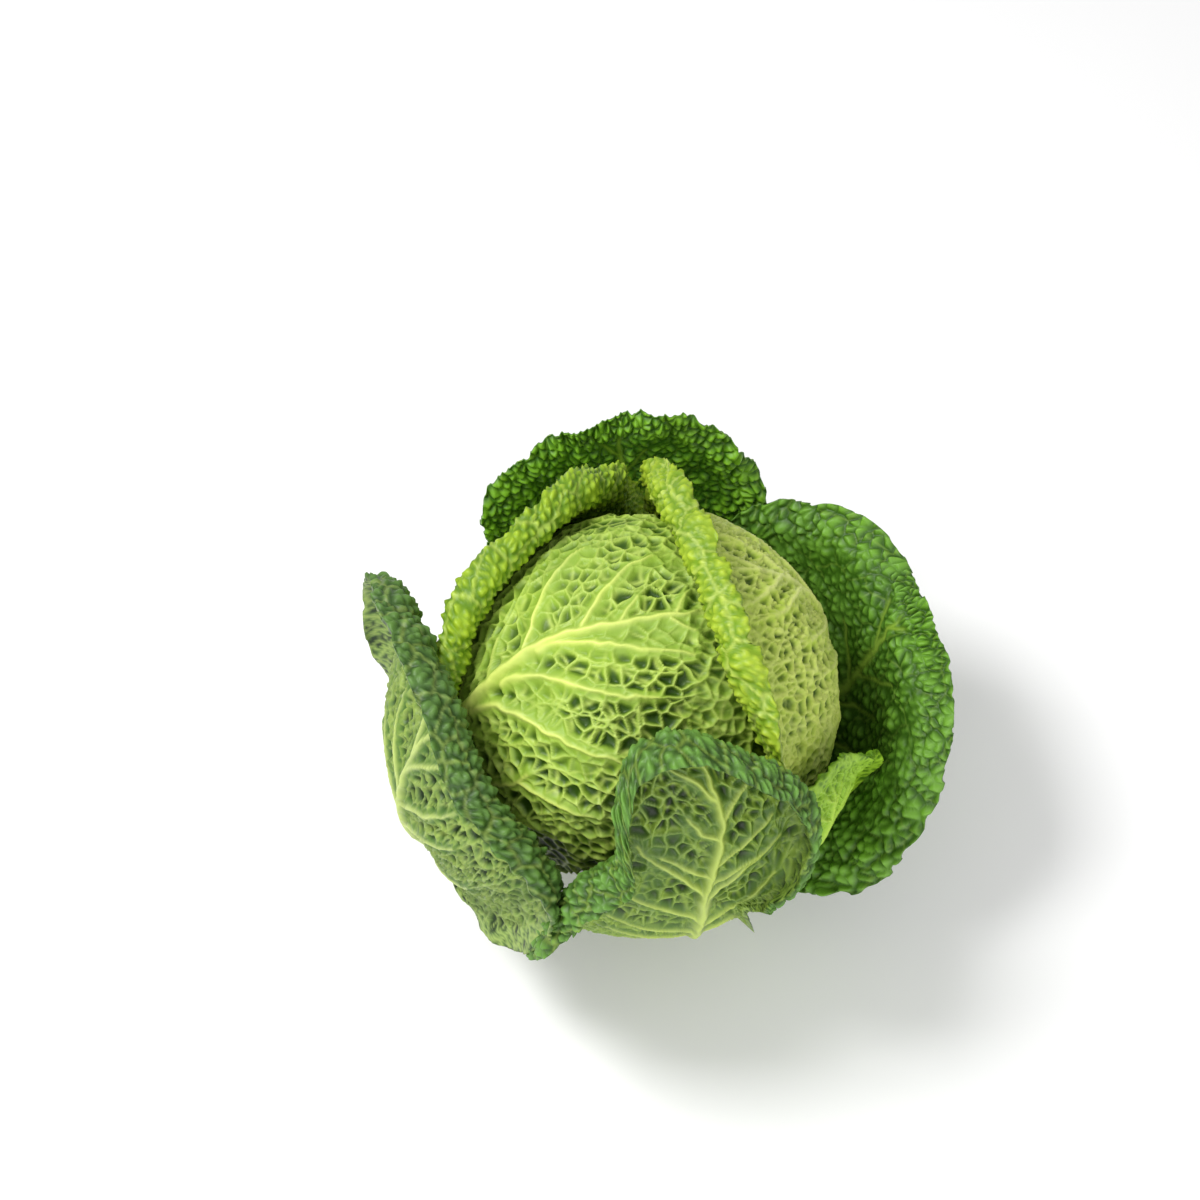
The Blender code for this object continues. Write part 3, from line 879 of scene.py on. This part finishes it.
def add_piece(name, points, faces, paint, material, slot, stands_for):
    """Puts vertices, triangles and painted values into a mesh object, which
    stands for one node of the part."""
    mesh = bpy.data.meshes.new(name)
    mesh.vertices.add(len(points))
    mesh.vertices.foreach_set("co", points.astype(np.float32).ravel())
    mesh.loops.add(faces.size)
    mesh.loops.foreach_set("vertex_index", faces.astype(np.int32).ravel())
    mesh.polygons.add(len(faces))
    mesh.polygons.foreach_set("loop_start", np.arange(0, faces.size, 3, dtype=np.int32))
    mesh.update(calc_edges=True)
    mesh.validate()
    mesh.shade_smooth()
    if paint is not None:
        layer = mesh.attributes.new("leaf_paint", "FLOAT_COLOR", "POINT")
        layer.data.foreach_set("color", paint.astype(np.float32).ravel())
    mesh.materials.append(material)
    piece = bpy.data.objects.new(name, mesh)
    bpy.context.scene.collection.objects.link(piece)
    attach(piece, "root")
    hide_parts(stands_for)


# ------------------------------------------------------------------ materials

def linear(code):
    """sRGB hex colour to linear red, green, blue and alpha."""
    c = np.array([int(code[k:k + 2], 16) for k in (1, 3, 5)]) / 255
    c = np.where(c <= 0.04045, c / 12.92, ((c + 0.055) / 1.055)**2.4)
    return (*c.tolist(), 1.0)


def node(tree, kind, settings=None, **inputs):
    """Adds a node. settings are its properties; inputs are socket values, or
    sockets of other nodes to link from. A name's _ stands for a space."""
    made = tree.nodes.new(kind)
    for key, value in (settings or {}).items():
        setattr(made, key, value)
    for key, value in inputs.items():
        socket = made.inputs[int(key[1:]) if key[0] == "_" else key.replace("_", " ")]
        if isinstance(value, bpy.types.NodeSocket):
            tree.links.new(value, socket)
        else:
            socket.default_value = value
    return made


def mix(tree, factor, a, b, blend="MIX"):
    """Mixes two colours; returns the colour socket."""
    made = tree.nodes.new("ShaderNodeMix")
    made.data_type = "RGBA"
    made.blend_type = blend
    for place, value in ((0, factor), (6, a), (7, b)):
        if isinstance(value, bpy.types.NodeSocket):
            tree.links.new(value, made.inputs[place])
        else:
            made.inputs[place].default_value = value
    return made.outputs[2]


# Colours of each leaf, in this order. The pit and crease colours are painted shade: dark
# colours laid into the cells of the outer side and into the creases between the blisters of
# the inner side.
SKIN = (("blade", "Blade", "Outer side between the ribs"),
        ("pit", "Pit shade", "Outer side, deep in the cells"),
        ("thread", "Thin ribs", "Outer side, on the net of thin ribs"),
        ("rib", "Ribs", "Midrib and side ribs"),
        ("blister", "Blisters", "Inner side, on top of the blisters"),
        ("crease", "Crease shade", "Inner side, in the creases between blisters"))
LEAF_COLOURS = {
    "head_leaf": ("#87a63c", "#2e4c08", "#b6cb66", "#cbd972", "#b4cc55", "#8fae3a"),
    "wrapper_right": ("#a6c044", "#2f4e09", "#d4e27c", "#d8e288", "#a4bc36", "#668a16"),
    "wrapper_left": ("#a0bb3e", "#486f0e", "#c2d664", "#cedd84", "#97b42a", "#557a12"),
    "outer_front_right": ("#7aa41e", "#345a08", "#90b836", "#a2c442", "#7cae24", "#3c650c"),
    "outer_front": ("#486728", "#142404", "#8ea848", "#aabd5c", "#628e3c", "#2c4a14"),
    "outer_right": ("#56782c", "#24400a", "#7c9c40", "#84a43c", "#6a9a34", "#2c500c"),
    "outer_back": ("#548418", "#244a06", "#7ea432", "#8aaf38", "#74a826", "#2c5a0a"),
    "outer_left": ("#4a6c2e", "#162c08", "#98ae5c", "#b8c878", "#587c3a", "#294616"),
}


def leaf_material(name, colours):
    """Living cabbage leaf. Waxy skin gives a soft broad shine; ribs are
    paler than the blade, and the blade darkens in the hollows. Cloudy patches
    a few centimetres wide are yellower, and fine grain breaks up the shine."""
    material = bpy.data.materials.new(name)
    material.use_nodes = True
    tree = material.node_tree
    shader = tree.nodes["Principled BSDF"]
    paint = node(tree, "ShaderNodeAttribute", {"attribute_name": "leaf_paint"})
    split = node(tree, "ShaderNodeSeparateColor", Color=paint.outputs["Color"])
    # depth carries painted shade: on the outer side it grows with the depth of a cell and
    # mixes in the dark pit colour; on the inner side it is low between the blisters, where
    # the dark crease colour shows.
    line, depth, main = split.outputs[0], split.outputs[1], split.outputs[2]
    inner = paint.outputs["Alpha"]
    where = node(tree, "ShaderNodeTexCoord").outputs["Object"]
    patches = node(tree, "ShaderNodeTexNoise", Vector=where, Scale=55.0, Detail=3.0)
    grain = node(tree, "ShaderNodeTexNoise", Vector=where, Scale=520.0, Detail=4.0)
    soft = node(tree, "ShaderNodeMath", {"operation": "MULTIPLY"}, _0=line, _1=0.9)
    # Painted shade: the pit colour darkens the outer side deep in the cells.
    outer = mix(tree, depth, tuple(colours.blade), tuple(colours.pit))
    outer = mix(tree, soft.outputs[0], outer, tuple(colours.thread))
    outer = mix(tree, main, outer, tuple(colours.rib))
    # Painted shade: the crease colour darkens the inner side between the blisters.
    within = mix(tree, depth, tuple(colours.crease), tuple(colours.blister))
    vein = node(tree, "ShaderNodeMath", {"operation": "MULTIPLY"}, _0=line, _1=0.45)
    within = mix(tree, vein.outputs[0], within, tuple(colours.thread))
    within = mix(tree, main, within, tuple(colours.rib))
    colour = mix(tree, inner, outer, within)
    vary = node(tree, "ShaderNodeMapRange", Value=patches.outputs["Fac"],
                From_Min=0.35, From_Max=0.68, To_Max=0.22)
    colour = mix(tree, vary.outputs[0], colour, linear("#dfe870"), "SOFT_LIGHT")
    tree.links.new(colour, shader.inputs["Base Color"])
    bump = node(tree, "ShaderNodeBump", Height=grain.outputs["Fac"],
                Strength=0.4, Distance=0.0005)
    tree.links.new(bump.outputs["Normal"], shader.inputs["Normal"])
    shader.inputs["Roughness"].default_value = 0.46
    shader.inputs["Specular IOR Level"].default_value = 0.32
    return material


def stem_material(colours):
    """Cut cabbage stem. Pale woody flesh with faint rings on the cut face and
    streaks down the side."""
    material = bpy.data.materials.new("cut cabbage stem")
    material.use_nodes = True
    tree = material.node_tree
    shader = tree.nodes["Principled BSDF"]
    where = node(tree, "ShaderNodeTexCoord").outputs["Object"]
    rings = node(tree, "ShaderNodeTexWave", {"wave_type": "RINGS",
                                             "rings_direction": "Z"},
                 Vector=where, Scale=90.0, Distortion=2.5, Detail=2.0)
    streak = node(tree, "ShaderNodeTexNoise", Vector=where, Scale=260.0, Detail=3.0)
    colour = mix(tree, rings.outputs["Fac"], tuple(colours.flesh), tuple(colours.ring))
    colour = mix(tree, streak.outputs["Fac"], colour, tuple(colours.streak), "SOFT_LIGHT")
    tree.links.new(colour, shader.inputs["Base Color"])
    bump = node(tree, "ShaderNodeBump", Height=streak.outputs["Fac"],
                Strength=0.3, Distance=0.0004)
    tree.links.new(bump.outputs["Normal"], shader.inputs["Normal"])
    shader.inputs["Roughness"].default_value = 0.62
    return material


# ----------------------------------------------------------------- properties

def colour_group(name, parts, codes):
    """Makes a property group with one colour for each part."""
    notes = {key: FloatVectorProperty(name=label, description=text, size=4, min=0,
                                      max=1, default=linear(code), subtype="COLOR")
             for (key, label, text), code in zip(parts, codes)}
    return type("CABBAGE_PG_" + name, (bpy.types.PropertyGroup,),
                {"__annotations__": notes, "__doc__": "Colours of the " + name})


COLOUR_GROUPS = {name: colour_group(name, SKIN, codes)
                 for name, codes in LEAF_COLOURS.items()}
COLOUR_GROUPS["head"] = colour_group("head", SKIN, LEAF_COLOURS["head_leaf"])
COLOUR_GROUPS["stem"] = colour_group(
    "stem", (("flesh", "Flesh", "Most of the cut face and the side"),
             ("ring", "Rings", "Faint rings in the flesh"),
             ("streak", "Streaks", "Uneven colour over the stem")),
    ("#dfe3b4", "#c9d596", "#b9c27a"))
COLOUR_GROUPS["stage"] = colour_group(
    "stage", (("floor", "Floor", "Paper under the cabbage"),
              ("air", "Surroundings", "Light from all sides")),
    ("#f6f6f6", "#ffffff"))


class CABBAGE_PG_sizes(bpy.types.PropertyGroup):
    """Sizes shared by all leaves, and the stage lights"""
    leaf_thickness: FloatProperty(
        name="Leaf thickness", description="Thickness of the blade in mid leaf",
        default=0.0010, min=0.0004, max=0.003, subtype="DISTANCE", unit="LENGTH")
    pit_depth: FloatProperty(
        name="Pit depth", description="Share of the natural depth of the cells",
        default=1.0, min=0.0, max=2.0, subtype="FACTOR")
    rib_height: FloatProperty(
        name="Rib height", description="Share of the natural height of the ribs",
        default=1.0, min=0.0, max=2.0, subtype="FACTOR")
    rim_ruffle: FloatProperty(
        name="Rim ruffle", description="Share of the natural waves along the rims",
        default=1.0, min=0.0, max=1.5, subtype="FACTOR")
    key_power: FloatProperty(
        name="Key light", description="Power of the main lamp",
        default=12.0, min=0.0, max=100.0, subtype="POWER", unit="POWER")
    fill_power: FloatProperty(
        name="Fill light", description="Power of the wide soft lamp",
        default=14.0, min=0.0, max=100.0, subtype="POWER", unit="POWER")
    air_strength: FloatProperty(
        name="Surroundings", description="Strength of the light from all sides",
        default=0.58, min=0.0, max=2.0, subtype="FACTOR")


class CABBAGE_PG_settings(bpy.types.PropertyGroup):
    """All sizes and colours of the cabbage"""
    __annotations__ = {"sizes": PointerProperty(type=CABBAGE_PG_sizes),
                       **{name: PointerProperty(type=group)
                          for name, group in COLOUR_GROUPS.items()}}


# ------------------------------------------------------------------ operators

# The sides that show of the leaves without a rolled rim; see leaf_sides.
SHOWN_SIDES = {"head_leaf": "outer", "outer_right": "open", "outer_back": "open"}


def build_leaf(context, name):
    """Builds one leaf with its own rib pattern and its own skin."""
    settings = context.scene.cabbage
    seed = list(LEAF_FORMS).index(name) + 11
    points, faces, paint = blade(LeafForm(LEAF_FORMS[name]), RIB_STYLES[name],
                                 SHOWN_SIDES.get(name, "rolled"), seed, settings.sizes)
    material = leaf_material(name.replace("_", " ") + " skin", getattr(settings, name))
    add_piece(name + "_blade", points, faces, paint, material,
              SLOT_OF_LEAF.get(name, "outer_leaf"), name)


class CABBAGE_OT_head(bpy.types.Operator):
    """Builds the ball of folded leaves inside the cabbage"""
    bl_idname = "cabbage.head"
    bl_label = "Head"

    def execute(self, context):
        settings = context.scene.cabbage
        material = leaf_material("head heart skin", settings.head)
        add_piece("head_heart", *head_ball(settings.sizes), material, "head_leaf", "head")
        return {"FINISHED"}


class CABBAGE_OT_stem(bpy.types.Operator):
    """Builds the cut stem under the head"""
    bl_idname = "cabbage.stem"
    bl_label = "Stem"

    def execute(self, context):
        material = stem_material(context.scene.cabbage.stem)
        add_piece("stem_stalk", *turned_stem(), None, material, "stem", "stem")
        return {"FINISHED"}


class CABBAGE_OT_head_leaf(bpy.types.Operator):
    """Builds the large ribbed leaf that closes the head"""
    bl_idname = "cabbage.head_leaf"
    bl_label = "Head leaf"

    def execute(self, context):
        build_leaf(context, "head_leaf")
        return {"FINISHED"}


class CABBAGE_OT_wrapper_leaves(bpy.types.Operator):
    """Builds the two leaves that clasp the head and roll back at the rim"""
    bl_idname = "cabbage.wrapper_leaves"
    bl_label = "Wrapper leaves"

    def execute(self, context):
        for name in ("wrapper_right", "wrapper_left"):
            build_leaf(context, name)
        return {"FINISHED"}


class CABBAGE_OT_outer_leaves(bpy.types.Operator):
    """Builds the five loose dark leaves around the head"""
    bl_idname = "cabbage.outer_leaves"
    bl_label = "Outer leaves"

    def execute(self, context):
        for name in ("outer_front_right", "outer_front", "outer_right",
                     "outer_back", "outer_left"):
            build_leaf(context, name)
        return {"FINISHED"}


FLOOR_HALF = 3.0                        # half the side of the floor
KEY_PLACE, KEY_SIZE = (-0.60, 0.08, 1.15), 0.42
FILL_PLACE, FILL_SIZE = (0.15, -1.35, 0.55), 1.4
CAMERA_ELEVATION = radians(58)          # how steeply the camera looks down
VIEW_WIDTH = 0.492                      # width of what the camera sees
VIEW_SHIFT = (-0.0164, 0.041)           # its middle, right and up of the head
LENS, SENSOR = 85, 36                   # mm


def lamp(scene, name, place, size, power):
    """Adds a soft square lamp that looks at the head."""
    light = bpy.data.lights.new(name, "AREA")
    light.size = size
    light.energy = power
    body = bpy.data.objects.new(name, light)
    body.location = place
    aim = Vector(HEAD_CENTRE) - Vector(place)
    body.rotation_euler = aim.to_track_quat("-Z", "Y").to_euler()
    scene.collection.objects.link(body)


class CABBAGE_OT_stage(bpy.types.Operator):
    """Builds the paper floor, the lights and the camera"""
    bl_idname = "cabbage.stage"
    bl_label = "Stage"

    def execute(self, context):
        scene, settings = context.scene, context.scene.cabbage
        mesh = bpy.data.meshes.new("floor")
        mesh.from_pydata([(x * FLOOR_HALF, y * FLOOR_HALF, 0) for x, y in
                          ((-1, -1), (1, -1), (1, 1), (-1, 1))], [], [(0, 1, 2, 3)])
        floor = bpy.data.objects.new("floor", mesh)
        scene.collection.objects.link(floor)
        paper = bpy.data.materials.new("white studio paper")
        paper.use_nodes = True
        shader = paper.node_tree.nodes["Principled BSDF"]
        shader.inputs["Base Color"].default_value = tuple(settings.stage.floor)
        shader.inputs["Roughness"].default_value = 0.9
        mesh.materials.append(paper)
        world = bpy.data.worlds.new("studio")
        world.use_nodes = True
        air = world.node_tree.nodes["Background"]
        air.inputs["Color"].default_value = tuple(settings.stage.air)
        air.inputs["Strength"].default_value = settings.sizes.air_strength
        scene.world = world
        scene.view_settings.view_transform = "Standard"
        lamp(scene, "key", KEY_PLACE, KEY_SIZE, settings.sizes.key_power)
        lamp(scene, "fill", FILL_PLACE, FILL_SIZE, settings.sizes.fill_power)
        back = Vector((0, -cos(CAMERA_ELEVATION), sin(CAMERA_ELEVATION)))
        up = Vector((0, sin(CAMERA_ELEVATION), cos(CAMERA_ELEVATION)))
        aim = Vector(HEAD_CENTRE) + Vector((VIEW_SHIFT[0], 0, 0)) + up * VIEW_SHIFT[1]
        lens = bpy.data.cameras.new("camera")
        lens.lens, lens.sensor_width = LENS, SENSOR
        camera = bpy.data.objects.new("camera", lens)
        camera.location = aim + back * (VIEW_WIDTH / SENSOR * LENS)
        camera.rotation_euler = (-back).to_track_quat("-Z", "Y").to_euler()
        scene.collection.objects.link(camera)
        scene.camera = camera
        return {"FINISHED"}


OPERATORS = (CABBAGE_OT_head, CABBAGE_OT_stem, CABBAGE_OT_head_leaf,
             CABBAGE_OT_wrapper_leaves, CABBAGE_OT_outer_leaves, CABBAGE_OT_stage)


class CABBAGE_PT_builder(bpy.types.Panel):
    """Lists what the add-on builds, with its sizes and colours"""
    bl_idname = "CABBAGE_PT_builder"
    bl_label = "Savoy Cabbage"
    bl_space_type = "VIEW_3D"
    bl_region_type = "UI"
    bl_category = "Cabbage"

    def draw(self, context):
        settings = context.scene.cabbage
        for item in OPERATORS:
            self.layout.operator(item.bl_idname)
        for key in CABBAGE_PG_sizes.__annotations__:
            self.layout.prop(settings.sizes, key)
        for name, group in COLOUR_GROUPS.items():
            box = self.layout.box()
            box.label(text=name.replace("_", " ").capitalize())
            for key in group.__annotations__:
                box.prop(getattr(settings, name), key)


CLASSES = (*COLOUR_GROUPS.values(), CABBAGE_PG_sizes, CABBAGE_PG_settings,
           *OPERATORS, CABBAGE_PT_builder)


def register():
    """Adds the add-on's classes and its settings to Blender."""
    for item in CLASSES:
        bpy.utils.register_class(item)
    bpy.types.Scene.cabbage = PointerProperty(type=CABBAGE_PG_settings)


def unregister():
    """Takes them out again."""
    del bpy.types.Scene.cabbage
    for item in reversed(CLASSES):
        bpy.utils.unregister_class(item)


def main():
    """Builds the whole cabbage and its stage, and notes its size."""
    register()
    for item in OPERATORS:
        group, action = item.bl_idname.split(".")
        if getattr(getattr(bpy.ops, group), action)() != {"FINISHED"}:
            raise RuntimeError(item.bl_label + " could not be built")
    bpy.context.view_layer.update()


if __name__ == "__main__":
    main()
